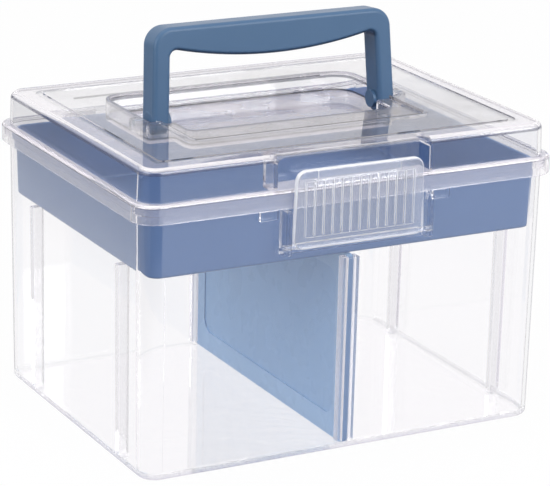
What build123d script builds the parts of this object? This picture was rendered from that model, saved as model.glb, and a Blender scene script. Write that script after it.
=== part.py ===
from build123d import *
import math
import os

# Clear carry box with a domed lid, a lift-out tray, a sliding divider, a folding handle and a front latch.
# Millimetres. +Z is up, the latch faces -Y, and the origin is the centre of the flat underside.

# Outer size of the lid, which is the widest piece
lid_width = 254.0
lid_depth = 195.0
lid_corner_radius = 13.0

# Tub
body_height = 151.3
side_overhang = 4.0
front_overhang = 2.9
body_corner_radius = 12.0
body_wall = 2.0
body_floor = 2.2
base_inset = 1.4
base_edge_radius = 3.0
inner_floor_radius = 2.0
rim_flange_height = 4.0
rim_clearance = 0.6

# Lid
lid_seat_gap = 0.3
ledge_thickness = 2.0
ledge_width = 3.9
band_height = 10.3
skirt_wall = 1.8
band_edge_radius = 1.8
dome_rise = 18.0
dome_inset = 0.6
dome_wall = 1.8
lid_top_thickness = 1.8
dome_corner_radius = 11.0
dome_edge_radius = 3.5
border_width = 11.5
groove_width = 4.0
groove_depth = 0.7

# Handle trough in the lid's top: a deep well that stows the handle and a shallow recess in front of it
trough_depth = 11.5
trough_wall = 1.8
trough_back_corner_radius = 12.0
trough_side_corner_radius = 1.5
trough_neck_step = 15.5
trough_neck_length = 18.5
trough_neck_corner_radius = 4.0
recess_depth = 1.6
recess_side_step = 6.5
recess_reach = 47.0
recess_corner_radius = 5.0
recess_edge_radius = 0.8

# Finger pocket in the lid's front wall, behind the latch
pocket_side_margin = 6.5
pocket_depth = 12.0
pocket_corner_radius = 4.0

# Handle
handle_width = 152.0
handle_depth = 16.0
handle_leg = 10.0
handle_rise = 52.6
handle_lean = 5.0
handle_axis_y = 3.0
handle_splay = 2.4
handle_bar_end = 11.9
handle_belly = 7.8
handle_outer_radius = 11.0
handle_inner_radius = 4.0
handle_edge_radius = 2.5
handle_side_gap = 2.5
handle_floor_gap = 0.5
handle_stop_gap = 0.5
handle_tip_gap = 2.0
handle_foot_radius = 5.0
handle_foot_height = 2.2
handle_pin_radius = 2.0
handle_pin_length = 6.0
handle_boss_size = 11.0

# Tray
tray_height = 39.0
tray_rim_drop = 0.8
tray_gap = 2.4
tray_corner_radius = 8.0
tray_inset = 1.2
tray_wall = 2.0
tray_floor = 2.0
tray_edge_radius = 2.0
tray_inner_radius = 1.5
tray_lip_radius = 0.8

# Posts inside the side walls, which carry the tray
post_width = 4.5
post_reach = 6.5
post_offset = 57.0

# Divider and its rails
divider_thickness = 3.0
divider_slot_gap = 0.3
divider_end_gap = 0.6
divider_floor_gap = 0.3
divider_top_gap = 0.5
divider_corner_radius = 3.0
divider_border = 12.0
divider_panel_depth = 0.6
divider_panel_radius = 8.0
rail_width = 3.0
rail_reach = 5.5
rail_drop = 1.5

# Latch
latch_width = 80.0
latch_height = 43.3
latch_top_above_ledge = 10.3
latch_thickness = 2.8
latch_corner_radius = 6.0
latch_top_inset = 1.6
latch_face_gap = 0.6
latch_edge_radius = 1.2
latch_barrel_radius = 2.0
latch_pin_radius = 1.5
latch_axis_inset = 0.5
latch_grip_height = 30.5
latch_grip_margin = 6.5
latch_grip_depth = 0.9
latch_rib_count = 13
latch_rib_width = 1.0
hook_width = 50.0
hook_reach = 5.0
hook_thickness = 2.6
hook_gap = 0.35
hook_pad_thickness = 1.1
latch_pad_margin = 1.2

# Cheeks beside the latch, the ridge below it and the two front lugs
cheek_thickness = 4.0
cheek_side_gap = 1.2
cheek_band_gap = 0.5
cheek_below_pivot = 4.5
cheek_hole_wall = 1.3
cheek_nose_radius = 1.5
ridge_height = 1.6
ridge_reach = 2.2
ridge_gap = 0.8
lug_width = 10.5
lug_height = 5.0
lug_reach = 2.2
lug_offset = 52.5

# Rear hinge
hinge_spacing = 150.0
hinge_behind = 4.0
hinge_below = 3.8
hinge_barrel_radius = 3.2
hinge_pin_radius = 1.5
knuckle_width = 20.0
ear_thickness = 4.0
ear_gap = 0.5
ear_brace = 12.0

# Radial clearance of every moulded pin in its hole
pin_clearance = 0.08

# How far a cut runs past the face that it opens
cut_margin = 1.0

# Heights worked out from the sizes above
ledge_under = body_height + lid_seat_gap
ledge_top = ledge_under + ledge_thickness
band_bottom = ledge_top - band_height
lid_top = ledge_top + dome_rise
trough_floor = lid_top - trough_depth
recess_floor = lid_top - recess_depth
tray_top = body_height - tray_rim_drop
tray_seat = tray_top - tray_height
rail_top = tray_seat - rail_drop

# Plan sizes worked out from the sizes above
body_width = lid_width - 2 * side_overhang
body_depth = lid_depth - 2 * front_overhang
dome_width = lid_width - 2 * ledge_width
dome_depth = lid_depth - 2 * ledge_width
dome_top_width = dome_width - 2 * dome_inset
dome_top_depth = dome_depth - 2 * dome_inset

# Handle axis: the folded handle lies just above the trough's floor
handle_axis_z = trough_floor + handle_floor_gap + handle_depth / 2
trough_step_y = handle_axis_y - handle_depth / 2 - handle_stop_gap
trough_back_y = handle_axis_y + handle_rise + handle_tip_gap
trough_width = handle_width + 2 * handle_side_gap
trough_neck_width = trough_width - 2 * trough_neck_step
trough_neck_y = trough_step_y - trough_neck_length
recess_width = trough_width - 2 * recess_side_step

# Latch axis, along the plate's lower edge
latch_back = lid_depth / 2 + latch_face_gap
latch_front = latch_back + latch_thickness
latch_top = ledge_top + latch_top_above_ledge
latch_bottom = latch_top - latch_height
latch_axis_y = -(latch_back + latch_axis_inset)
latch_axis_z = latch_bottom + latch_barrel_radius
cheek_inner = latch_width / 2 + cheek_side_gap
cheek_outer = cheek_inner + cheek_thickness
latch_grip_width = latch_width - 2 * latch_grip_margin
pocket_width = latch_width + 2 * pocket_side_margin

# Hinge axis, behind and below the lid's band
hinge_axis_y = lid_depth / 2 + hinge_behind
hinge_axis_z = band_bottom - hinge_below


def block(x_range, y_range, z_range):
    """A plain block from its lowest to its highest corner."""
    size = [high - low for low, high in (x_range, y_range, z_range)]
    middle = [(high + low) / 2 for low, high in (x_range, y_range, z_range)]
    return Pos(*middle) * Box(*size)


def rounded_prism(width, depth, radius, low, high, inset=0.0):
    """An upright block with round corners. Each side leans in by inset between low and high."""
    taper = math.degrees(math.atan2(inset, high - low))
    outline = Plane.XY.offset(low) * RectangleRounded(width, depth, radius)
    return extrude(outline, amount=high - low, taper=taper)


def cross_rod(radius, x_range, y, z):
    """A round rod along X."""
    length = x_range[1] - x_range[0]
    middle = (x_range[0] + x_range[1]) / 2
    return Pos(middle, y, z) * Rot(0, 90, 0) * Cylinder(radius, length)


def side_profile(points, x_range):
    """A solid along X whose outline is a list of (y, z) points."""
    outline = make_face(Polyline(*[(0, y, z) for y, z in points], close=True))
    return Pos(x_range[0], 0, 0) * extrude(outline, amount=x_range[1] - x_range[0], dir=(1, 0, 0))


def mirrored(solid):
    """The solid and its mirror image across the middle plane, x = 0."""
    return [solid, mirror(solid, about=Plane.YZ)]


def lean(z):
    """How far the tub's wall stands in from its rim at a height."""
    return base_inset * (1 - z / body_height)


def inner_half_width(z):
    return body_width / 2 - lean(z) - body_wall


def inner_half_depth(z):
    return body_depth / 2 - lean(z) - body_wall


def tub_shell():
    """The tub's outer solid and its cavity. Both widen from the floor to the rim."""
    outer = rounded_prism(
        body_width - 2 * base_inset,
        body_depth - 2 * base_inset,
        body_corner_radius - base_inset,
        0,
        body_height,
        -base_inset,
    )
    outer = fillet(outer.faces().sort_by(Axis.Z)[0].edges(), base_edge_radius)
    cavity_radius = body_corner_radius - body_wall
    cavity_lean = lean(body_floor)
    cavity = rounded_prism(
        body_width - 2 * body_wall - 2 * cavity_lean,
        body_depth - 2 * body_wall - 2 * cavity_lean,
        cavity_radius - cavity_lean,
        body_floor,
        body_height,
        -cavity_lean,
    )
    cavity = fillet(cavity.faces().sort_by(Axis.Z)[0].edges(), inner_floor_radius)
    return outer, cavity


def rim_flange():
    """The outward flange that fills the lid's skirt."""
    return rounded_prism(
        lid_width - 2 * (skirt_wall + rim_clearance),
        lid_depth - 2 * (skirt_wall + rim_clearance),
        lid_corner_radius - skirt_wall - rim_clearance,
        body_height - rim_flange_height,
        body_height,
    )


def tray_posts():
    """Four upright ribs inside the side walls. The tray stands on them."""
    inner = inner_half_width(tray_seat) - post_reach
    outer = body_width / 2
    posts = []
    for y in (-post_offset, post_offset):
        y_range = (y - post_width / 2, y + post_width / 2)
        posts += mirrored(block((inner, outer), y_range, (body_floor / 2, tray_seat)))
    return posts


def divider_rails():
    """Two pairs of upright ribs on the front and back walls, with a slot between each pair."""
    slot = divider_thickness / 2 + divider_slot_gap
    inner = inner_half_depth(rail_top) - rail_reach
    outer = body_depth / 2
    rails = []
    for low, high in ((-outer, -inner), (inner, outer)):
        rails += mirrored(block((slot, slot + rail_width), (low, high), (body_floor / 2, rail_top)))
    return rails


def latch_cheeks():
    """A cheek each side of the latch with a hole for its pin, and the ridge below."""
    low = latch_axis_z - cheek_below_pivot
    wall = -(body_depth / 2 - base_inset)
    nose = latch_axis_y - latch_pin_radius - pin_clearance - cheek_hole_wall
    cheek = block((cheek_inner, cheek_outer), (nose, wall), (low, band_bottom - cheek_band_gap))
    cheek = fillet(cheek.edges().filter_by(Axis.X).group_by(Axis.Y)[0], cheek_nose_radius)
    ridge_top = latch_bottom - ridge_gap
    ridge_nose = -(body_depth / 2 + ridge_reach)
    ridge = block((-cheek_outer, cheek_outer), (ridge_nose, wall), (ridge_top - ridge_height, ridge_top))
    return mirrored(cheek) + [ridge]


def front_lugs():
    """Two short ribs under the band, which keep the skirt level at the front."""
    x_range = (lug_offset - lug_width / 2, lug_offset + lug_width / 2)
    high = band_bottom - cheek_band_gap
    y_range = (-(body_depth / 2 + lug_reach), -(body_depth / 2 - base_inset))
    return mirrored(block(x_range, y_range, (high - lug_height, high)))


def ear(x_range):
    """One bracket of the rear hinge, with a brace down the wall."""
    root = body_depth / 2 - base_inset
    y = hinge_axis_y
    z = hinge_axis_z
    r = hinge_barrel_radius
    web = side_profile([(y, z + r), (root, z + r), (root, z - ear_brace), (y, z - r)], x_range)
    return web + cross_rod(r, x_range, y, z)


def hinge_ears():
    """Two ears at each hinge, one each side of the lid's knuckle."""
    near = hinge_spacing / 2 - knuckle_width / 2 - ear_gap
    far = hinge_spacing / 2 + knuckle_width / 2 + ear_gap
    ears = []
    for x_range in ((near - ear_thickness, near), (far, far + ear_thickness)):
        ears += mirrored(ear(x_range))
    return ears


def make_body():
    outer, cavity = tub_shell()
    inner_ribs = [rib & outer for rib in tray_posts() + divider_rails()]
    solid = outer + rim_flange()
    for piece in latch_cheeks() + front_lugs() + hinge_ears():
        solid += piece
    solid -= cavity
    for rib in inner_ribs:
        solid += rib
    cheek_hole = latch_pin_radius + pin_clearance
    cheek_reach = cheek_outer + cut_margin
    solid -= cross_rod(cheek_hole, (-cheek_reach, cheek_reach), latch_axis_y, latch_axis_z)
    ear_reach = hinge_spacing / 2 + knuckle_width
    for x_range in ((-ear_reach, -hinge_spacing / 4), (hinge_spacing / 4, ear_reach)):
        solid -= cross_rod(hinge_pin_radius + pin_clearance, x_range, hinge_axis_y, hinge_axis_z)
    return solid


def trough_outline():
    """The deep well from above. It stows the folded handle, and fingers reach in by the neck in front."""
    length = trough_back_y - trough_step_y
    outline = Pos(0, trough_step_y + length / 2) * Rectangle(trough_width, length)
    neck_middle = trough_step_y - trough_neck_length / 2
    outline += Pos(0, neck_middle) * Rectangle(trough_neck_width, trough_neck_length)
    outline = fillet(outline.vertices().group_by(Axis.Y)[-1], trough_back_corner_radius)
    outline = fillet(outline.vertices().group_by(Axis.Y)[0], trough_neck_corner_radius)
    at_step = [v for v in outline.vertices() if abs(v.Y - trough_step_y) < trough_side_corner_radius / 10]
    return fillet(at_step, trough_side_corner_radius)


def recess_outline():
    """The shallow recess from above. It runs on over the well's front wall."""
    back = trough_step_y + trough_wall
    length = back + recess_reach
    outline = Pos(0, back - length / 2) * Rectangle(recess_width, length)
    return fillet(outline.vertices().group_by(Axis.Y)[0], recess_corner_radius)


def upright(outline, low, high):
    """A solid with an outline and straight sides between two heights."""
    return extrude(Plane.XY.offset(low) * outline, amount=high - low)


def lid_band():
    """The outer band and ledge."""
    band = rounded_prism(lid_width, lid_depth, lid_corner_radius, band_bottom, ledge_top)
    return fillet(band.faces().sort_by(Axis.Z)[-1].edges(), band_edge_radius)


def lid_dome():
    """The dome's outer solid, round along its top edge, with the finger pocket cut out of its front."""
    dome = rounded_prism(dome_width, dome_depth, dome_corner_radius, ledge_top, lid_top, dome_inset)
    dome = fillet(dome.faces().sort_by(Axis.Z)[-1].edges(), dome_edge_radius)
    return dome - pocket(0, ledge_top, lid_top - lid_top_thickness, lid_depth / 2)


def lid_groove():
    """The groove that runs round the top, inside the border."""
    low = lid_top - groove_depth
    width = dome_top_width - 2 * border_width
    depth = dome_top_depth - 2 * border_width
    radius = dome_corner_radius - groove_width
    outer = rounded_prism(width, depth, radius, low, lid_top)
    inner = rounded_prism(
        width - 2 * groove_width, depth - 2 * groove_width, radius - groove_width, low, lid_top
    )
    return outer - inner


def pocket(grow, low, high, reach):
    """The finger pocket's space, or its walls where grow is their thickness."""
    half = pocket_width / 2 + grow
    back = -(dome_depth / 2 - pocket_depth) + grow
    space = block((-half, half), (-reach, back), (low, high))
    top_edges = space.edges().filter_by(Axis.Y).group_by(Axis.Z)[-1]
    return fillet(top_edges, pocket_corner_radius)


def knuckle(x_range):
    """One arm of the lid's hinge, with a barrel round the hinge axis."""
    y = hinge_axis_y
    z = hinge_axis_z
    r = hinge_barrel_radius
    root = lid_depth / 2 - skirt_wall / 2
    points = [(root, ledge_top - skirt_wall), (lid_depth / 2, ledge_top - skirt_wall)]
    points += [(y + r, z), (y - r, z), (root, band_bottom)]
    return side_profile(points, x_range) + cross_rod(r, x_range, y, z)


def lid_knuckles():
    """Both knuckles, each with a moulded pin at each end."""
    low = hinge_spacing / 2 - knuckle_width / 2
    high = hinge_spacing / 2 + knuckle_width / 2
    pin_reach = ear_gap + ear_thickness
    pins = cross_rod(hinge_pin_radius, (low - pin_reach, high + pin_reach), hinge_axis_y, hinge_axis_z)
    return mirrored(knuckle((low, high)) + pins)


def handle_bosses():
    """A block each side of the trough, which holds the handle's pin."""
    half = handle_boss_size / 2
    low = trough_width / 2
    high = low + handle_pin_length
    y_range = (handle_axis_y - half, handle_axis_y + half)
    return mirrored(block((low, high), y_range, (handle_axis_z - half, lid_top - groove_depth)))


def make_lid():
    roof = lid_top - lid_top_thickness
    skirt_space = rounded_prism(
        lid_width - 2 * skirt_wall,
        lid_depth - 2 * skirt_wall,
        lid_corner_radius - skirt_wall,
        band_bottom,
        ledge_under,
    )
    dome_space = rounded_prism(
        dome_width - 2 * dome_wall,
        dome_depth - 2 * dome_wall,
        dome_corner_radius - dome_wall,
        ledge_under,
        roof,
        dome_inset * (roof - ledge_under) / dome_rise,
    )
    roof_edges = dome_space.faces().sort_by(Axis.Z)[-1].edges()
    dome_space = fillet(roof_edges, dome_edge_radius - dome_wall)
    trough = trough_outline()
    recess = recess_outline()
    pocket_walls = pocket(dome_wall, ledge_under, roof + dome_wall, dome_depth / 2 - dome_wall / 2)
    dome_space -= upright(offset(trough, trough_wall), trough_floor - trough_wall, lid_top)
    dome_space -= upright(offset(recess, trough_wall), recess_floor - trough_wall, lid_top)
    dome_space -= pocket_walls
    for boss in handle_bosses():
        dome_space -= boss
    solid = lid_band() + lid_dome()
    solid -= skirt_space
    solid -= dome_space
    solid -= lid_groove()
    solid -= upright(trough, trough_floor, lid_top)
    solid -= upright(recess, recess_floor, lid_top)
    step_edges = [
        e
        for e in solid.edges().filter_by(Axis.X)
        if abs(e.center().Y - trough_neck_y) < recess_edge_radius / 10
        and abs(e.center().Z - recess_floor) < recess_edge_radius / 10
    ]
    solid = fillet(step_edges, recess_edge_radius)
    for piece in lid_knuckles():
        solid += piece
    pin_hole = handle_pin_radius + pin_clearance
    hole_reach = trough_width / 2 + handle_pin_length
    solid -= cross_rod(pin_hole, (-hole_reach, hole_reach), handle_axis_y, handle_axis_z)
    return solid


def make_tray():
    width = 2 * (inner_half_width(tray_top) - tray_gap)
    depth = 2 * (inner_half_depth(tray_top) - tray_gap)
    outer = rounded_prism(
        width - 2 * tray_inset,
        depth - 2 * tray_inset,
        tray_corner_radius - tray_inset,
        tray_seat,
        tray_top,
        -tray_inset,
    )
    outer = fillet(outer.faces().sort_by(Axis.Z)[0].edges(), tray_edge_radius)
    low = tray_seat + tray_floor
    inset = tray_inset * (tray_top - low) / tray_height
    space = rounded_prism(
        width - 2 * tray_wall - 2 * inset,
        depth - 2 * tray_wall - 2 * inset,
        tray_corner_radius - tray_wall - inset,
        low,
        tray_top,
        -inset,
    )
    space = fillet(space.faces().sort_by(Axis.Z)[0].edges(), tray_inner_radius)
    solid = outer - space
    return fillet(solid.faces().sort_by(Axis.Z)[-1].edges(), tray_lip_radius)


def make_divider():
    low = body_floor + divider_floor_gap
    high = tray_seat - divider_top_gap
    low_half = inner_half_depth(low) - divider_end_gap
    high_half = inner_half_depth(high) - divider_end_gap
    half = divider_thickness / 2
    outline = [(-low_half, low), (low_half, low), (high_half, high), (-high_half, high)]
    plate = side_profile(outline, (-half, half))
    plate = fillet(plate.edges().filter_by(Axis.X), divider_corner_radius)
    panel_half = low_half - divider_border
    panel_low = low + divider_border
    panel_high = high - divider_border
    for face_x in (half, -half):
        panel = block(
            (face_x - divider_panel_depth, face_x + divider_panel_depth),
            (-panel_half, panel_half),
            (panel_low, panel_high),
        )
        plate -= fillet(panel.edges().filter_by(Axis.X), divider_panel_radius)
    return plate


def handle_profile():
    """The U from the front, with its axis at the origin: splayed legs and a bar that bellies down."""
    outer = handle_width / 2
    inner = outer - handle_leg
    under = handle_rise - handle_bar_end
    under_inner = inner - handle_splay * under / handle_rise
    outline = make_face(
        Polyline(
            (-outer, 0, 0),
            (-(outer - handle_splay), 0, handle_rise),
            (outer - handle_splay, 0, handle_rise),
            (outer, 0, 0),
            close=True,
        )
    )
    outline = fillet(outline.vertices().group_by(Axis.Z)[-1], handle_outer_radius)
    legs = Polyline(
        (-under_inner, 0, under),
        (-inner, 0, 0),
        (inner, 0, 0),
        (under_inner, 0, under),
    )
    belly = ThreePointArc((under_inner, 0, under), (0, 0, under - handle_belly), (-under_inner, 0, under))
    opening = make_face(legs + belly)
    opening = fillet(opening.vertices().group_by(Axis.Z)[-1], handle_inner_radius)
    return outline - opening


def make_handle():
    half = handle_depth / 2
    outer = handle_width / 2
    inner = outer - handle_leg
    solid = extrude(handle_profile(), amount=half, dir=(0, 1, 0), both=True)
    long_edges = [
        e for e in solid.edges() if abs(abs(e.center().Y) - half) < half / 100 and e.center().Z > half / 100
    ]
    solid = fillet(long_edges, handle_edge_radius)
    for leg in mirrored(cross_rod(half, (inner, outer), 0, 0)):
        solid += fillet(leg.edges().filter_by(GeomType.CIRCLE), handle_edge_radius)
    foot_range = (inner - handle_foot_height, outer - handle_leg / 2)
    for foot in mirrored(cross_rod(handle_foot_radius, foot_range, 0, 0)):
        solid += foot
    pin_tip = trough_width / 2 + handle_pin_length - pin_clearance
    for pin in mirrored(cross_rod(handle_pin_radius, (inner, pin_tip), 0, 0)):
        solid += pin
    return Pos(0, handle_axis_y, handle_axis_z) * Rot(-handle_lean, 0, 0) * solid


def latch_plate():
    """The latch's plate, a little narrower at the top, with round corners and a soft front edge."""
    low_half = latch_width / 2
    high_half = low_half - latch_top_inset
    outline = make_face(
        Polyline(
            (-low_half, 0, latch_bottom),
            (low_half, 0, latch_bottom),
            (high_half, 0, latch_top),
            (-high_half, 0, latch_top),
            close=True,
        )
    )
    outline = fillet(outline.vertices(), latch_corner_radius)
    plate = Pos(0, -latch_back, 0) * extrude(outline, amount=latch_thickness, dir=(0, -1, 0))
    return fillet(plate.faces().sort_by(Axis.Y)[0].edges(), latch_edge_radius)


def latch_grip(plate):
    """Sinks the grip panel into the plate's front and leaves upright ribs in it."""
    low = latch_bottom + latch_grip_margin
    z_range = (low, low + latch_grip_height)
    sunk = -(latch_front - latch_grip_depth)
    half = latch_grip_width / 2
    plate -= block((-half, half), (-latch_front - cut_margin, sunk), z_range)
    pitch = (latch_grip_width - latch_rib_width) / (latch_rib_count - 1)
    for i in range(latch_rib_count):
        x = -half + i * pitch
        plate += block((x, x + latch_rib_width), (-latch_front, sunk), z_range)
    return plate


def make_latch():
    solid = latch_grip(latch_plate())
    x_range = (-hook_width / 2, hook_width / 2)
    root = -latch_back - latch_thickness / 2
    low = ledge_top + hook_gap
    solid += block(x_range, (root, -latch_back + hook_reach), (low, low + hook_thickness))
    solid += block(x_range, (root, -latch_back + hook_pad_thickness), (low, latch_top - latch_pad_margin))
    barrel_half = latch_width / 2 - latch_corner_radius / 2
    solid += cross_rod(latch_barrel_radius, (-barrel_half, barrel_half), latch_axis_y, latch_axis_z)
    pin_half = cheek_outer - pin_clearance
    solid += cross_rod(latch_pin_radius, (-pin_half, pin_half), latch_axis_y, latch_axis_z)
    return solid


os.makedirs("parts", exist_ok=True)
pieces = {
    "body": make_body(),
    "lid": make_lid(),
    "tray": make_tray(),
    "divider": make_divider(),
    "handle": make_handle(),
    "latch": make_latch(),
}
for name, piece in pieces.items():
    export_step(piece, f"parts/{name}.step")
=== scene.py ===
import math

import bpy
from mathutils import Matrix, Vector

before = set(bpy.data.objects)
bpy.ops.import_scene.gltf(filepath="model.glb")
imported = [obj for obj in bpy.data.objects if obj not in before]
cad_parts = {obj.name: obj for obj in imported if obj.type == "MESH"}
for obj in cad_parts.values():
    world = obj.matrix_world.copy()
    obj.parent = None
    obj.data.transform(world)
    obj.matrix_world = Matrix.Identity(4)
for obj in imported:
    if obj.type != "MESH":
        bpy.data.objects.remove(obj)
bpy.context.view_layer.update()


# Tub: the clear lower shell, with the tray's posts, the divider's rails, the latch's cheeks and the
# hinge's ears. Polished, polystyrene-like plastic about 2 mm thick, moulded in one piece. It looks
# clear through a wall and grey along an edge, partly from painted shade on faces seen edge on.
CLEAR_IOR = 1.54
CLEAR_TINT = (1.0, 0.996, 1.0, 1.0)
CLEAR_SHADOW = (0.96, 0.955, 0.965, 1.0)
CLEAR_EDGE_GREY = (0.55, 0.52, 0.68, 1.0)
CLEAR_EDGE_DENSITY = 12.0
SHEEN_SCALE = 35.0
SHEEN_ROUGHNESS = (0.0, 0.03)
WAVE_SCALE = 22.0
WAVE_DETAIL = 1.0
WAVE_STRENGTH = 0.12
WAVE_DEPTH = 0.0004
NOISE_SPAN = (0.3, 0.7)
MIRRORS_BEFORE_LEAVING = 2.5
HAZE_AND_HIGHLIGHT_WHITE = (0.9, 0.86, 0.9, 1.0)
SCATTER_ROUGHNESS = 0.4
EDGE_HIGHLIGHT_SHARE = 0.16
HIGHLIGHT_RISE = (0.4, 0.6)
HIGHLIGHT_FALL = (0.9, 0.98)
EDGE_ON_PAINTED_SHADE = (0.2, 0.2, 0.24, 1.0)
EDGE_ON_SHADE_SHARE = 0.55
EDGE_ON_VIEW = (0.66, 0.86)
UPRIGHT_SLOPE = 0.5
FLOOR_TOP = 0.004
POST_PAINTED_SHADE = (0.2, 0.195, 0.21, 1.0)
POST_SHADE_SHARE = 0.065
POST_ACROSS = (0.1135, 0.1192)
POST_ALONG = (0.0546, 0.0594)
RAIL_PAINTED_LIGHT = (0.86, 0.87, 0.95, 1.0)
RAIL_LIGHT_SHARE = 0.35
RAIL_ACROSS = (0.0017, 0.0049)
RAIL_ALONG = (0.0853, 0.0908)
CORNER_TOP = 0.0045
CORNER_SLOPE = 0.97
CORNER_FADE = 0.6
CHEEK_ACROSS = (0.041, 0.0454)
CHEEK_HEIGHT = (0.11, 0.1432)
CHEEK_ROOT = -0.0948
CHEEK_FADE = 0.55


def new_plastic(name):
    """An empty node material, with its nodes, its links and its output."""
    material = bpy.data.materials.new(name)
    material.use_nodes = True
    tree = material.node_tree
    tree.nodes.clear()
    return material, tree, tree.nodes.new("ShaderNodeOutputMaterial")


def feed(tree, source, socket):
    """Gives a socket a plain number, or what another node gives."""
    if isinstance(source, float):
        socket.default_value = source
    else:
        tree.links.new(source, socket)


def combine(tree, operation, first, second=0.0):
    """One number from two, each a socket or a plain number."""
    step = tree.nodes.new("ShaderNodeMath")
    step.operation = operation
    feed(tree, first, step.inputs[0])
    feed(tree, second, step.inputs[1])
    return step.outputs["Value"]


def where_all(tree, *shares):
    """The product of shares, which is 1 only where each of them is."""
    product = shares[0]
    for share in shares[1:]:
        product = combine(tree, "MULTIPLY", product, share)
    return product


def where_any(tree, *shares):
    """The largest of shares, which is 1 where one of them is."""
    largest = shares[0]
    for share in shares[1:]:
        largest = combine(tree, "MAXIMUM", largest, share)
    return largest


def above(tree, value, limit):
    """1 where a value is more than a limit."""
    return combine(tree, "GREATER_THAN", value, limit)


def below(tree, value, limit):
    """1 where a value is less than a limit."""
    return combine(tree, "LESS_THAN", value, limit)


def in_range(tree, value, span):
    """1 where a value lies within a span."""
    return where_all(tree, above(tree, value, span[0]), below(tree, value, span[1]))


def between(tree, value, span, at_low, at_high):
    """Fades from at_low to at_high while a value goes through a span."""
    fade = tree.nodes.new("ShaderNodeMapRange")
    fade.inputs["From Min"].default_value = span[0]
    fade.inputs["From Max"].default_value = span[1]
    fade.inputs["To Min"].default_value = at_low
    fade.inputs["To Max"].default_value = at_high
    tree.links.new(value, fade.inputs["Value"])
    return fade.outputs["Result"]


def of_piece(tree, what, axis):
    """One axis of a point on the piece, or of the way that its surface faces, in its own frame."""
    coordinates = tree.nodes.new("ShaderNodeTexCoord")
    axes = tree.nodes.new("ShaderNodeSeparateXYZ")
    tree.links.new(coordinates.outputs[what], axes.inputs["Vector"])
    return axes.outputs[axis]


def place(tree, axis):
    """How far along an axis a point lies, in metres."""
    return of_piece(tree, "Object", axis)


def off_middle(tree, axis):
    """How far from the box's middle a point lies along an axis, to either side, in metres."""
    return combine(tree, "ABSOLUTE", place(tree, axis))


def facing(tree, axis):
    """How squarely a surface faces along an axis, from 0 to 1, whichever way round."""
    return combine(tree, "ABSOLUTE", of_piece(tree, "Normal", axis))


def upright_face(tree):
    """1 on the faces that stand upright."""
    return below(tree, facing(tree, "Z"), UPRIGHT_SLOPE)


def mould_noise(tree, scale, detail=2.0):
    """Soft noise in the piece's own metres, as the sheen of a moulding varies."""
    coordinates = tree.nodes.new("ShaderNodeTexCoord")
    noise = tree.nodes.new("ShaderNodeTexNoise")
    noise.inputs["Scale"].default_value = scale
    noise.inputs["Detail"].default_value = detail
    tree.links.new(coordinates.outputs["Object"], noise.inputs["Vector"])
    return noise.outputs["Fac"]


def surface_bump(tree, height, strength, depth):
    """A shallow relief for a shader's normal."""
    bump = tree.nodes.new("ShaderNodeBump")
    bump.inputs["Strength"].default_value = strength
    bump.inputs["Distance"].default_value = depth
    tree.links.new(height, bump.inputs["Height"])
    return bump.outputs["Normal"]


def mix_surfaces(tree, share, first, second):
    """The first surface where share is 0, and the second where it is 1."""
    mix = tree.nodes.new("ShaderNodeMixShader")
    feed(tree, share, mix.inputs["Fac"])
    tree.links.new(first, mix.inputs[1])
    tree.links.new(second, mix.inputs[2])
    return mix.outputs["Shader"]


def soft_white(tree, colour):
    """A matt surface of one colour, for the white that milky plastic scatters, for haze, and for
    painted light and shade.
    """
    scatter = tree.nodes.new("ShaderNodeBsdfPrincipled")
    scatter.inputs["Base Color"].default_value = colour
    scatter.inputs["Roughness"].default_value = SCATTER_ROUGHNESS
    return scatter


def matt_layer_over(tree, under, share, colour):
    """Lays a thin matt layer over a surface, as thick as share, from 0 to 1, for haze and for
    painted light and shade.
    """
    return mix_surfaces(tree, share, under, soft_white(tree, colour).outputs["BSDF"])


def let_through(tree, under, share):
    """Lets a share of what is behind show, as where a thin part hardly bends the light."""
    straight_on = tree.nodes.new("ShaderNodeBsdfTransparent")
    return mix_surfaces(tree, share, under, straight_on.outputs["BSDF"])


def ray(tree, kind):
    """What Light Path says of the ray that meets the surface."""
    return tree.nodes.new("ShaderNodeLightPath").outputs[kind]


def let_light_in(tree, clear, colour, output):
    """Light from lamps, bounced or trapped in a wall goes straight on. What the eye sees bends."""
    trapped = above(tree, ray(tree, "Glossy Depth"), MIRRORS_BEFORE_LEAVING)
    straight = where_any(tree, ray(tree, "Is Shadow Ray"), ray(tree, "Is Diffuse Ray"), trapped)
    passing = tree.nodes.new("ShaderNodeBsdfTransparent")
    passing.inputs["Color"].default_value = colour
    plastic = mix_surfaces(tree, straight, clear, passing.outputs["BSDF"])
    tree.links.new(plastic, output.inputs["Surface"])


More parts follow.
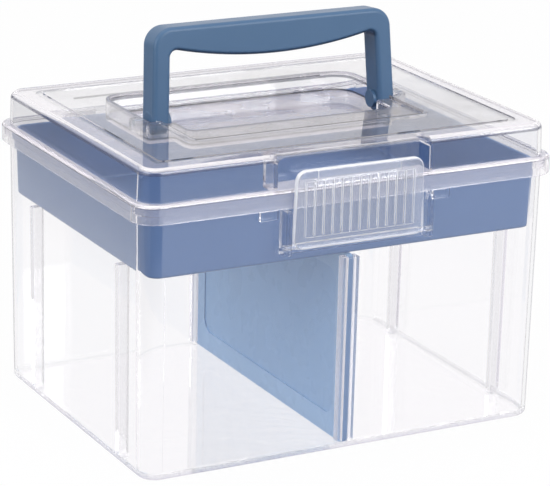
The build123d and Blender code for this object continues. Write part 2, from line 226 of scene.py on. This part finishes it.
def clear_plastic(name, haze_and_painted_tones, faint_parts):
    """Clear plastic: polished, greyer where light runs along a wall, with painted highlights on
    round edges.
    """
    material, tree, output = new_plastic(name)
    shader = tree.nodes.new("ShaderNodeBsdfPrincipled")
    shader.inputs["Base Color"].default_value = CLEAR_TINT
    shader.inputs["Transmission Weight"].default_value = 1.0
    shader.inputs["IOR"].default_value = CLEAR_IOR
    sheen = between(tree, mould_noise(tree, SHEEN_SCALE), NOISE_SPAN, *SHEEN_ROUGHNESS)
    tree.links.new(sheen, shader.inputs["Roughness"])
    wave = mould_noise(tree, WAVE_SCALE, WAVE_DETAIL)
    relief = surface_bump(tree, wave, WAVE_STRENGTH, WAVE_DEPTH)
    tree.links.new(relief, shader.inputs["Normal"])
    # Painted highlight: a thin white matt layer on the sloped round edges.
    slope = facing(tree, "Z")
    rising = between(tree, slope, HIGHLIGHT_RISE, 0.0, EDGE_HIGHLIGHT_SHARE)
    round_edge_highlight = where_all(tree, rising, between(tree, slope, HIGHLIGHT_FALL, 1.0, 0.0))
    surface = matt_layer_over(tree, shader.outputs["BSDF"], round_edge_highlight, HAZE_AND_HIGHLIGHT_WHITE)
    # Painted shade: a dark grey matt layer on upright faces seen edge on.
    view = tree.nodes.new("ShaderNodeLayerWeight")
    edge_on = between(tree, view.outputs["Facing"], EDGE_ON_VIEW, 0.0, EDGE_ON_SHADE_SHARE)
    painted_edge_shade = where_all(tree, edge_on, upright_face(tree))
    surface = matt_layer_over(tree, surface, painted_edge_shade, EDGE_ON_PAINTED_SHADE)
    for share_of, colour in haze_and_painted_tones:
        surface = matt_layer_over(tree, surface, share_of(tree), colour)
    for share_of in faint_parts:
        surface = let_through(tree, surface, share_of(tree))
    let_light_in(tree, surface, CLEAR_SHADOW, output)
    grey = tree.nodes.new("ShaderNodeVolumeAbsorption")
    grey.inputs["Color"].default_value = CLEAR_EDGE_GREY
    grey.inputs["Density"].default_value = CLEAR_EDGE_DENSITY
    tree.links.new(grey.outputs["Volume"], output.inputs["Volume"])
    return material


def finish_node(name, material):
    """Gives a moulding its material."""
    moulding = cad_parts[name]
    moulding.data.materials.clear()
    moulding.data.materials.append(material)


def upright_strip(tree, across, along, share):
    """A painted tone on what stands on the tub's floor, at the same place in each of its four
    quarters.
    """
    beside = in_range(tree, off_middle(tree, "X"), across)
    fore_and_aft = in_range(tree, off_middle(tree, "Y"), along)
    off_floor = above(tree, place(tree, "Z"), FLOOR_TOP)
    return where_all(tree, beside, fore_and_aft, off_floor, share)


def post_painted_shade(tree):
    """Painted shade that greys the tray's four posts a little, because they stand edge on to the
    light.
    """
    return upright_strip(tree, POST_ACROSS, POST_ALONG, POST_SHADE_SHARE)


def rail_painted_light(tree):
    """Painted light that makes the divider's rails pale, because they are thick and gather light.
    """
    return upright_strip(tree, RAIL_ACROSS, RAIL_ALONG, RAIL_LIGHT_SHARE)


def faint_corner(tree):
    """The rounded corner between the tub's floor and its walls shows only as a soft line."""
    low = below(tree, place(tree, "Z"), CORNER_TOP)
    rounded = below(tree, facing(tree, "Z"), CORNER_SLOPE)
    return where_all(tree, low, rounded, CORNER_FADE)


def faint_cheeks(tree):
    """The latch's thin cheeks hardly show against the tub's front wall."""
    beside = in_range(tree, off_middle(tree, "X"), CHEEK_ACROSS)
    upward = in_range(tree, place(tree, "Z"), CHEEK_HEIGHT)
    outside = below(tree, place(tree, "Y"), CHEEK_ROOT)
    return where_all(tree, beside, upward, outside, CHEEK_FADE)


# The posts' painted shade and the rails' painted light.
tub_painted_tones = ((post_painted_shade, POST_PAINTED_SHADE), (rail_painted_light, RAIL_PAINTED_LIGHT))
tub_plastic = clear_plastic("clear_tub_plastic", tub_painted_tones, (faint_corner, faint_cheeks))
finish_node("body", tub_plastic)


# Divider: the plate that slides between the tub's rails, with a sunken panel in each face.
# The same slate-blue plastic as the tray, but thin, so that light comes through and it looks paler.
# Its colours are painted much paler than the tray's, as painted light, and a share of it is
# translucent.
# Painted light: these blues are much paler than the tray's.
DIVIDER_PAINTED_LIGHT_BLUE = (0.44, 0.65, 0.87, 1.0)
DIVIDER_PAINTED_LIGHT_BLUE_LOW = (0.425, 0.63, 0.85, 1.0)
DIVIDER_BORDER_PAINTED_LIGHT = (0.51, 0.71, 0.91, 1.0)
DIVIDER_EDGE_PAINTED_SHADE = (0.2, 0.32, 0.52, 1.0)
DIVIDER_ROUGHNESS = 0.28
DIVIDER_GRAIN = 0.02
DIVIDER_GLOW = 0.35
DIVIDER_BORDER_STEP = (0.0011, 0.0013)
DIVIDER_EDGE_TURN = (0.6, 0.8)
BLUE_IOR = 1.5
BLUE_SPECULAR = 0.3
BLUE_CLOUD_SCALE = 14.0
BLUE_SHEEN_SCALE = 60.0
BLUE_SHEEN_SPREAD = 0.04
BLUE_GRAIN_SCALE = 900.0
GRAIN_DETAIL = 3.0
GRAIN_DEPTH = 0.0001


def tint_over(tree, under, share, colour):
    """One colour laid over another, as thick as share, from 0 to 1."""
    tint = tree.nodes.new("ShaderNodeMix")
    tint.data_type = "RGBA"
    tree.links.new(under, tint.inputs["A"])
    tint.inputs["B"].default_value = colour
    tree.links.new(share, tint.inputs["Factor"])
    return tint.outputs["Result"]


def blue_plastic(name, colour, low_colour, roughness, grain, painted_patches, glow=0.0):
    """Slate-blue satin plastic, a little cloudy in colour and sheen, with a tone for each patch of
    painted light and shade.
    """
    material, tree, output = new_plastic(name)
    shader = tree.nodes.new("ShaderNodeBsdfPrincipled")
    tone = tree.nodes.new("ShaderNodeMix")
    tone.data_type = "RGBA"
    tone.inputs["A"].default_value = low_colour
    tone.inputs["B"].default_value = colour
    cloud = between(tree, mould_noise(tree, BLUE_CLOUD_SCALE), NOISE_SPAN, 0.0, 1.0)
    tree.links.new(cloud, tone.inputs["Factor"])
    blue = tone.outputs["Result"]
    for share_of, painted_colour in painted_patches:
        blue = tint_over(tree, blue, share_of(tree), painted_colour)
    tree.links.new(blue, shader.inputs["Base Color"])
    least, most = roughness - BLUE_SHEEN_SPREAD, roughness + BLUE_SHEEN_SPREAD
    sheen = between(tree, mould_noise(tree, BLUE_SHEEN_SCALE), NOISE_SPAN, least, most)
    tree.links.new(sheen, shader.inputs["Roughness"])
    fine = mould_noise(tree, BLUE_GRAIN_SCALE, GRAIN_DETAIL)
    tree.links.new(surface_bump(tree, fine, grain, GRAIN_DEPTH), shader.inputs["Normal"])
    shader.inputs["IOR"].default_value = BLUE_IOR
    shader.inputs["Specular IOR Level"].default_value = BLUE_SPECULAR
    surface = shader.outputs["BSDF"]
    if glow:
        through = tree.nodes.new("ShaderNodeBsdfTranslucent")
        tree.links.new(blue, through.inputs["Color"])
        surface = mix_surfaces(tree, glow, surface, through.outputs["BSDF"])
    tree.links.new(surface, output.inputs["Surface"])
    return material


def divider_border_painted_light(tree):
    """1 on the raised border, painted lighter because it catches more light than the sunken panel.
    """
    return between(tree, off_middle(tree, "X"), DIVIDER_BORDER_STEP, 0.0, 1.0)


def divider_edge_painted_shade(tree):
    """1 on the edges that stand in the rails, given painted shade because the plate is seen through
    its whole depth there.
    """
    return between(tree, facing(tree, "Y"), DIVIDER_EDGE_TURN, 0.0, 1.0)


divider_plastic = blue_plastic(
    "pale_blue_plastic",
    DIVIDER_PAINTED_LIGHT_BLUE,
    DIVIDER_PAINTED_LIGHT_BLUE_LOW,
    DIVIDER_ROUGHNESS,
    DIVIDER_GRAIN,
    ((divider_border_painted_light, DIVIDER_BORDER_PAINTED_LIGHT), (divider_edge_painted_shade, DIVIDER_EDGE_PAINTED_SHADE)),
    DIVIDER_GLOW,
)
finish_node("divider", divider_plastic)


# Tray: the open blue box that lifts out from under the lid and stands on the tub's four posts.
# Slate-blue satin plastic, opaque, moulded in one piece with a slight draft.
TRAY_BLUE = (0.118, 0.203, 0.395, 1.0)
TRAY_BLUE_LOW = (0.108, 0.19, 0.372, 1.0)
TRAY_ROUGHNESS = 0.38
TRAY_GRAIN = 0.12

tray_plastic = blue_plastic(
    "tray_blue_plastic", TRAY_BLUE, TRAY_BLUE_LOW, TRAY_ROUGHNESS, TRAY_GRAIN, ()
)
finish_node("tray", tray_plastic)


# Latch: the ribbed plate that hooks over the lid's ledge and turns on two moulded pins between the
# cheeks. Natural, milky plastic with a matt face, so that what lies behind it shows as a soft tone.
LATCH_IOR = 1.49
LATCH_TINT = (0.96, 0.965, 0.99, 1.0)
LATCH_SHADOW = (0.8, 0.81, 0.84, 1.0)
LATCH_ROUGHNESS = (0.08, 0.12)
LATCH_SHEEN_SCALE = 80.0
LATCH_GRAIN_SCALE = 700.0
LATCH_GRAIN = 0.2
LATCH_MILK = (0.93, 0.95, 1.0, 1.0)
LATCH_FACE_SHARE = 0.1
LATCH_RIM_SHARE = 0.72
LATCH_RIM_TURN = (0.6, 0.97)
LATCH_PLATE_END = (0.04, 0.0402)
LATCH_PIN_FADE = 0.7
LATCH_PAD_SHARE = 0.14
LATCH_PAD_END = (0.0247, 0.025)
LATCH_PAD_FOOT = (0.154, 0.1543)
GRIP_HALF = 0.0335
GRIP_HEIGHT = (0.1275, 0.1575)
GRIP_FLANK_SHARE = 0.1
GRIP_HAZE = 0.1
GRIP_HAZE_TURN = (0.9, 0.97)
RIB_PITCH = 0.0055
RIB_LINE = 0.00024
RIB_FRONT = -0.9
RIB_HIGHLIGHT_WHITE = (0.98, 0.99, 1.0, 1.0)
RIB_HIGHLIGHT_SHARE = 0.32


def in_grip(tree):
    """1 within the grip, the sunken panel that holds the ribs."""
    beside = below(tree, off_middle(tree, "X"), GRIP_HALF)
    return where_all(tree, beside, in_range(tree, place(tree, "Z"), GRIP_HEIGHT))


def rib_painted_highlights(tree):
    """A thin painted highlight along the crest of each rib."""
    off_crest = combine(tree, "PINGPONG", place(tree, "X"), RIB_PITCH / 2)
    crest = below(tree, off_crest, RIB_LINE)
    front = below(tree, of_piece(tree, "Normal", "Y"), RIB_FRONT)
    return where_all(tree, crest, in_grip(tree), front, RIB_HIGHLIGHT_SHARE)


def milk_share(tree):
    """How much light the latch scatters: most at its rim, and more on its pad and in its grip."""
    beside = off_middle(tree, "X")
    squarely = facing(tree, "Y")
    rim = where_all(
        tree,
        between(tree, squarely, LATCH_RIM_TURN, LATCH_RIM_SHARE, LATCH_FACE_SHARE),
        between(tree, beside, LATCH_PLATE_END, 1.0, 0.0),
        between(tree, in_grip(tree), (0.0, 1.0), 1.0, GRIP_FLANK_SHARE),
    )
    grip_floor = where_all(
        tree, in_grip(tree), between(tree, squarely, GRIP_HAZE_TURN, 0.0, GRIP_HAZE)
    )
    pad = where_all(
        tree,
        between(tree, beside, LATCH_PAD_END, 1.0, 0.0),
        between(tree, place(tree, "Z"), LATCH_PAD_FOOT, 0.0, LATCH_PAD_SHARE),
    )
    return where_any(tree, rim, grip_floor, pad)


def on_pins(tree):
    """The two pins that stand out beside the plate hardly show between the cheeks."""
    return between(tree, off_middle(tree, "X"), LATCH_PLATE_END, 0.0, LATCH_PIN_FADE)


def frosted_plastic(name):
    """Milky plastic: part of the light scatters at its face, and the rest passes, blurred."""
    material, tree, output = new_plastic(name)
    frost = tree.nodes.new("ShaderNodeBsdfPrincipled")
    frost.inputs["Base Color"].default_value = LATCH_TINT
    frost.inputs["Transmission Weight"].default_value = 1.0
    frost.inputs["IOR"].default_value = LATCH_IOR
    sheen = between(tree, mould_noise(tree, LATCH_SHEEN_SCALE), NOISE_SPAN, *LATCH_ROUGHNESS)
    tree.links.new(sheen, frost.inputs["Roughness"])
    milk = soft_white(tree, LATCH_MILK)
    fine = mould_noise(tree, LATCH_GRAIN_SCALE, GRAIN_DETAIL)
    grain = surface_bump(tree, fine, LATCH_GRAIN, GRAIN_DEPTH)
    tree.links.new(grain, frost.inputs["Normal"])
    tree.links.new(grain, milk.inputs["Normal"])
    body = mix_surfaces(tree, milk_share(tree), frost.outputs["BSDF"], milk.outputs["BSDF"])
    ribbed = matt_layer_over(tree, body, rib_painted_highlights(tree), RIB_HIGHLIGHT_WHITE)
    let_light_in(tree, let_through(tree, ribbed, on_pins(tree)), LATCH_SHADOW, output)
    return material


finish_node("latch", frosted_plastic("frosted_latch_plastic"))


# Lid: the clear domed cover with its outer band, border groove, handle trough, finger pocket and
# hinge knuckles. The same clear plastic as the tub, about 1.8 mm thick, moulded in one piece.
BAND_HAZE = 0.1
BAND_TOP = (0.1535, 0.1539)
LEVEL_FACE = 0.95
STREAK_SCALE = 45.0
STREAK_SPREAD = 0.3
WELL_FLOOR = (0.158, 0.162)
WELL_PAINTED_REFLECTION = (0.95, 0.83, 0.78, 1.0)
WELL_REFLECTION_SHARE = 0.28
RECESS_FLOOR = (0.162, 0.1703)
RECESS_REFLECTION_SHARE = 0.42
TOP_SHEET = (0.1703, 0.25)
BORDER_PAINTED_REFLECTION = (0.3, 0.28, 0.27, 1.0)
BORDER_REFLECTION_SHARE = 0.28
BORDER_FADE = (-0.05, 0.02)
BORDER_FADED = 0.5
GROOVE_HALF_WIDTH = 0.111
GROOVE_HALF_DEPTH = 0.0815
RIM_PAINTED_REFLECTION = (0.8, 0.74, 0.78, 1.0)
RIM_REFLECTION_SHARE = 0.25
LEDGE = (0.153, 0.1542)
LEDGE_PAINTED_REFLECTION = (0.42, 0.43, 0.52, 1.0)
LEDGE_REFLECTION_SHARE = 0.4
FOLD_PAINTED_SHADE = (0.03, 0.028, 0.03, 1.0)
FOLD_SHADE_SHARE = 0.6
STEP_FOLD = (0.1699, 0.1716)
STEP_FADE = (-0.01, 0.0)
STEP_FADED = 0.35
WELL_FOLD = (0.16, 0.1609)
WELL_HALF_WIDTH = 0.0805
WELL_FRONT = -0.026
LIP_LINE = (-0.0486, -0.0469)
LIP_HALF_WIDTH = 0.072
ROUND_PAINTED_SHADE = (0.05, 0.055, 0.12, 1.0)
ROUND_SHADE_SHARE = 0.4
DOME_ROUND = (0.1679, 0.1694)
BAND_ROUND = (0.1516, 0.1522)
POCKET_HALF_WIDTH = 0.0468
POCKET_EDGE_BACK = -0.0885
POCKET_EDGE_FOOT = 0.1675
POCKET_EDGE_FADE = 0.6


def seen_from_outside(tree):
    """1 on the face where a ray enters the plastic."""
    face = tree.nodes.new("ShaderNodeNewGeometry")
    return combine(tree, "SUBTRACT", 1.0, face.outputs["Backfacing"])


def band_haze(tree):
    """A faint haze in the outer band, below the ledge."""
    return between(tree, place(tree, "Z"), BAND_TOP, BAND_HAZE, 0.0)


def level_face(tree, heights, share):
    """The share of a painted tone on the level outer faces between two heights, streaky as the
    moulding's sheen.
    """
    level = above(tree, of_piece(tree, "Normal", "Z"), LEVEL_FACE)
    at_height = in_range(tree, place(tree, "Z"), heights)
    least, most = (1.0 - STREAK_SPREAD) * share, (1.0 + STREAK_SPREAD) * share
    streaks = between(tree, mould_noise(tree, STREAK_SCALE), NOISE_SPAN, least, most)
    return where_all(tree, level, seen_from_outside(tree), at_height, streaks)


def well_painted_reflection(tree):
    """The floor of the well gets a pale painted reflection."""
    return level_face(tree, WELL_FLOOR, WELL_REFLECTION_SHARE)


def recess_painted_reflection(tree):
    """The floor of the recess gets a grey painted reflection."""
    return level_face(tree, RECESS_FLOOR, RECESS_REFLECTION_SHARE)


def outside_groove(tree):
    """1 on the strip between the groove and the dome's edge."""
    beside = above(tree, off_middle(tree, "X"), GROOVE_HALF_WIDTH)
    return where_any(tree, beside, above(tree, off_middle(tree, "Y"), GROOVE_HALF_DEPTH))


def border_painted_reflection(tree):
    """The sheet between the trough and the groove gets a grey painted reflection, most of all at
    the front.
    """
    inside = combine(tree, "SUBTRACT", 1.0, outside_groove(tree))
    fade = between(tree, place(tree, "Y"), BORDER_FADE, 1.0, BORDER_FADED)
    return where_all(tree, level_face(tree, TOP_SHEET, BORDER_REFLECTION_SHARE), inside, fade)


def rim_painted_reflection(tree):
    """The strip outside the groove gets a pale painted reflection."""
    sheet = level_face(tree, TOP_SHEET, RIM_REFLECTION_SHARE)
    return where_all(tree, sheet, outside_groove(tree))


def ledge_painted_reflection(tree):
    """The ledge on which the dome stands gets a grey painted reflection."""
    return level_face(tree, LEDGE, LEDGE_REFLECTION_SHARE)


def lip_painted_shade(tree):
    """The thin line of painted shade along the recess's front edge."""
    beside = below(tree, off_middle(tree, "X"), LIP_HALF_WIDTH)
    along = in_range(tree, place(tree, "Y"), LIP_LINE)
    return where_all(tree, beside, along, level_face(tree, TOP_SHEET, FOLD_SHADE_SHARE))


def fold_painted_shade(tree):
    """Thin lines of painted shade where the sheet turns at the groove, at the recess and at the
    well's foot.
    """
    height = place(tree, "Z")
    along = place(tree, "Y")
    fading = between(tree, along, STEP_FADE, 1.0, STEP_FADED)
    steps = where_all(tree, in_range(tree, height, STEP_FOLD), fading)
    foot = where_all(
        tree,
        in_range(tree, height, WELL_FOLD),
        below(tree, off_middle(tree, "X"), WELL_HALF_WIDTH),
        above(tree, along, WELL_FRONT),
    )
    return where_all(tree, where_any(tree, steps, foot), upright_face(tree), FOLD_SHADE_SHARE)


def round_painted_shade(tree):
    """A thin line of painted shade under the round top edges of the dome and of the band."""
    height = place(tree, "Z")
    line = where_any(tree, in_range(tree, height, DOME_ROUND), in_range(tree, height, BAND_ROUND))
    return where_all(tree, line, upright_face(tree), ROUND_SHADE_SHARE)


def faint_pocket_edge(tree):
    """The dome's front edge hardly shows where it crosses the finger pocket."""
    beside = below(tree, off_middle(tree, "X"), POCKET_HALF_WIDTH)
    front = below(tree, place(tree, "Y"), POCKET_EDGE_BACK)
    over = above(tree, place(tree, "Z"), POCKET_EDGE_FOOT)
    return where_all(tree, beside, front, over, POCKET_EDGE_FADE)


# The band's haze, painted reflections on the level faces, and painted shade along folds and round
# edges.
lid_haze_and_painted_tones = (
    (band_haze, HAZE_AND_HIGHLIGHT_WHITE),
    (well_painted_reflection, WELL_PAINTED_REFLECTION),
    (recess_painted_reflection, BORDER_PAINTED_REFLECTION),
    (border_painted_reflection, BORDER_PAINTED_REFLECTION),
    (rim_painted_reflection, RIM_PAINTED_REFLECTION),
    (ledge_painted_reflection, LEDGE_PAINTED_REFLECTION),
    (lip_painted_shade, FOLD_PAINTED_SHADE),
    (fold_painted_shade, FOLD_PAINTED_SHADE),
    (round_painted_shade, ROUND_PAINTED_SHADE),
)
finish_node("lid", clear_plastic("clear_lid_plastic", lid_haze_and_painted_tones, (faint_pocket_edge,)))


# Handle: the U that folds back into the lid's trough and turns on two pins moulded on the ends of
# its legs. Slate-blue satin plastic, opaque, with well-rounded edges.
HANDLE_BLUE = (0.078, 0.152, 0.268, 1.0)
HANDLE_BLUE_LOW = (0.07, 0.14, 0.25, 1.0)
HANDLE_ROUGHNESS = 0.33
HANDLE_GRAIN = 0.12
HANDLE_SHADE = (0.02, 0.045, 0.09, 1.0)
HANDLE_SHADE_SHARE = 0.9
HANDLE_SHADE_TURN = (-0.5, -0.1)


def underside(tree):
    """Most where the handle's rounded edges turn down and so get the least light."""
    turn = of_piece(tree, "Normal", "Z")
    return between(tree, turn, HANDLE_SHADE_TURN, HANDLE_SHADE_SHARE, 0.0)


handle_plastic = blue_plastic(
    "handle_blue_plastic",
    HANDLE_BLUE,
    HANDLE_BLUE_LOW,
    HANDLE_ROUGHNESS,
    HANDLE_GRAIN,
    ((underside, HANDLE_SHADE),),
)
finish_node("handle", handle_plastic)


# Floor: the plain white sheet that the box stands on, seamless up to the horizon. It shows as white
# behind the box and keeps the box's shadow. Where the lid and the tub mirror it, it has painted
# shade, darker on one side.
FLOOR_HALF = 6.0
FLOOR_WHITE = (0.5, 0.5, 0.51, 1.0)
FLOOR_GLOW_SHARE = 0.92
FLOOR_GLOW_LEVEL = 1.04
LEFT_FLOOR = (-0.40, -0.24)
LEFT_FLOOR_SHADE_LEVEL = 0.3
DARK_FLOOR_START = (-0.12, -0.09, 0.0)
DARK_FLOOR_WAY = (-0.476, -0.88, 0.0)
DARK_FLOOR_TURN = (0.82, 0.87)
DARK_FLOOR_REACH = (0.22, 0.38)
DARK_FLOOR_SHADE_LEVEL = 0.05
ONE_MIRROR = (0.5, 1.5)


def seen_ray(tree):
    """1 where the eye sees the background, straight, in a mirror or through clear plastic."""
    kinds = ("Is Camera Ray", "Is Glossy Ray", "Is Transmission Ray")
    return where_any(tree, *(ray(tree, kind) for kind in kinds))


def mirrored_ray(tree):
    """1 where the plastic mirrors its surroundings, which are darker than the white behind it."""
    return in_range(tree, ray(tree, "Glossy Depth"), ONE_MIRROR)


def mix_value(tree, share, low, high):
    """low where share is 0 and high where it is 1, each a socket or a plain number."""
    mix = tree.nodes.new("ShaderNodeMix")
    tree.links.new(share, mix.inputs["Factor"])
    feed(tree, low, mix.inputs["A"])
    feed(tree, high, mix.inputs["B"])
    return mix.outputs["Result"]


def vector_step(tree, operation, first, second=(0.0, 0.0, 0.0)):
    """One step of vector arithmetic, from a socket and a fixed vector."""
    step = tree.nodes.new("ShaderNodeVectorMath")
    step.operation = operation
    tree.links.new(first, step.inputs[0])
    step.inputs[1].default_value = second
    return step.outputs["Value" if operation in ("LENGTH", "DOT_PRODUCT") else "Vector"]


def mirrored_floor_shade(tree):
    """How bright the floor looks in a mirror, with painted shade: dim to the left, and dark in a
    wedge at the front.
    """
    to_left = between(tree, place(tree, "X"), LEFT_FLOOR, LEFT_FLOOR_SHADE_LEVEL, 1.0)
    on_floor = tree.nodes.new("ShaderNodeTexCoord").outputs["Object"]
    from_start = vector_step(tree, "SUBTRACT", on_floor, DARK_FLOOR_START)
    heading = vector_step(tree, "NORMALIZE", from_start)
    along_way = vector_step(tree, "DOT_PRODUCT", heading, DARK_FLOOR_WAY)
    dark = where_all(
        tree,
        between(tree, along_way, DARK_FLOOR_TURN, 0.0, 1.0),
        between(tree, vector_step(tree, "LENGTH", from_start), DARK_FLOOR_REACH, 0.0, 1.0),
    )
    return mix_value(tree, dark, to_left, DARK_FLOOR_SHADE_LEVEL)


def floor_paint(name):
    """White that glows a little where the eye sees it, and isn't there at all from below."""
    material, tree, output = new_plastic(name)
    matt = tree.nodes.new("ShaderNodeBsdfDiffuse")
    matt.inputs["Color"].default_value = FLOOR_WHITE
    glow = tree.nodes.new("ShaderNodeEmission")
    level = mix_value(tree, mirrored_ray(tree), FLOOR_GLOW_LEVEL, mirrored_floor_shade(tree))
    tree.links.new(level, glow.inputs["Strength"])
    glow_share = where_all(tree, seen_ray(tree), FLOOR_GLOW_SHARE)
    top = mix_surfaces(tree, glow_share, matt.outputs["BSDF"], glow.outputs["Emission"])
    side = tree.nodes.new("ShaderNodeNewGeometry")
    whole = let_through(tree, top, side.outputs["Backfacing"])
    tree.links.new(whole, output.inputs["Surface"])
    return material


floor_mesh = bpy.data.meshes.new("floor")
corners = [(FLOOR_HALF * x, FLOOR_HALF * y, 0.0) for x, y in ((-1, -1), (1, -1), (1, 1), (-1, 1))]
floor_mesh.from_pydata(corners, [], [(0, 1, 2, 3)])
floor_mesh.materials.append(floor_paint("white_floor"))
floor = bpy.data.objects.new("floor", floor_mesh)
bpy.context.scene.collection.objects.link(floor)


# Light: a white surround that is darker on one side, and three wide soft lamps in front, at the
# left and above. Their level is the one at which each plastic shows in its own colour.
SURROUND_WHITE = (1.0, 0.992, 1.0, 1.0)
SURROUND_LEVEL = 0.56
DARK_SIDE = (-0.46, -0.85, 0.25)
DARK_SIDE_TURN = (0.8, 0.88)
DARK_SIDE_LEVEL = 0.1
LAMP_AIM = Vector((0.0, 0.0, 0.1))

world = bpy.data.worlds.new("white_surround")
bpy.context.scene.world = world
world.use_nodes = True
sky = world.node_tree
background = sky.nodes["Background"]
background.inputs["Color"].default_value = SURROUND_WHITE
sky_way = sky.nodes.new("ShaderNodeTexCoord").outputs["Generated"]
toward_dark = vector_step(sky, "DOT_PRODUCT", sky_way, DARK_SIDE)
sky_in_mirror = between(sky, toward_dark, DARK_SIDE_TURN, 1.0, DARK_SIDE_LEVEL)
sky_seen = mix_value(sky, mirrored_ray(sky), 1.0, sky_in_mirror)
sky_level = mix_value(sky, seen_ray(sky), SURROUND_LEVEL, sky_seen)
sky.links.new(sky_level, background.inputs["Strength"])


def soft_lamp(name, stand, size, watts):
    """A square soft box that faces the middle of the box."""
    light = bpy.data.lights.new(name, "AREA")
    light.size = size
    light.energy = watts
    lamp = bpy.data.objects.new(name, light)
    lamp.location = stand
    lamp.rotation_euler = (LAMP_AIM - Vector(stand)).to_track_quat("-Z", "Y").to_euler()
    bpy.context.scene.collection.objects.link(lamp)


soft_lamp("front_lamp", stand=(0.7, -1.7, 1.0), size=1.2, watts=24.0)
soft_lamp("left_lamp", stand=(-1.7, -0.3, 0.8), size=1.2, watts=12.0)
soft_lamp("top_lamp", stand=(-0.3, 0.3, 1.9), size=1.4, watts=9.0)


# Camera: a long lens a little above the box and to its left, with the picture turned by a degree.
# Its place was worked out from the corners of the lid and of the tub in the photo.
VIEW_AZIMUTH = math.radians(-28.4)
VIEW_ELEVATION = math.radians(17.53)
VIEW_ROLL = math.radians(1.374)
VIEW_DISTANCE = 1.817391
VIEW_AIM = Vector((0.139827, 0.252477, 0.0))
VIEW_LENS = 174.805
VIEW_REACH = 50.0
SENSOR_WIDTH = 36.0

backward = Vector(
    (
        math.sin(VIEW_AZIMUTH) * math.cos(VIEW_ELEVATION),
        -math.cos(VIEW_AZIMUTH) * math.cos(VIEW_ELEVATION),
        math.sin(VIEW_ELEVATION),
    )
)
level_right = Vector((math.cos(VIEW_AZIMUTH), math.sin(VIEW_AZIMUTH), 0.0))
level_up = backward.cross(level_right)
right = math.cos(VIEW_ROLL) * level_right + math.sin(VIEW_ROLL) * level_up
up = math.cos(VIEW_ROLL) * level_up - math.sin(VIEW_ROLL) * level_right
turn = Matrix((right, up, backward)).transposed().to_4x4()
camera_data = bpy.data.cameras.new("camera")
camera_data.lens = VIEW_LENS
camera_data.sensor_width = SENSOR_WIDTH
camera_data.clip_end = VIEW_REACH
camera = bpy.data.objects.new("camera", camera_data)
camera.matrix_world = Matrix.Translation(VIEW_AIM + VIEW_DISTANCE * backward) @ turn
bpy.context.scene.collection.objects.link(camera)
bpy.context.scene.camera = camera
bpy.context.scene.view_settings.view_transform = "Standard"
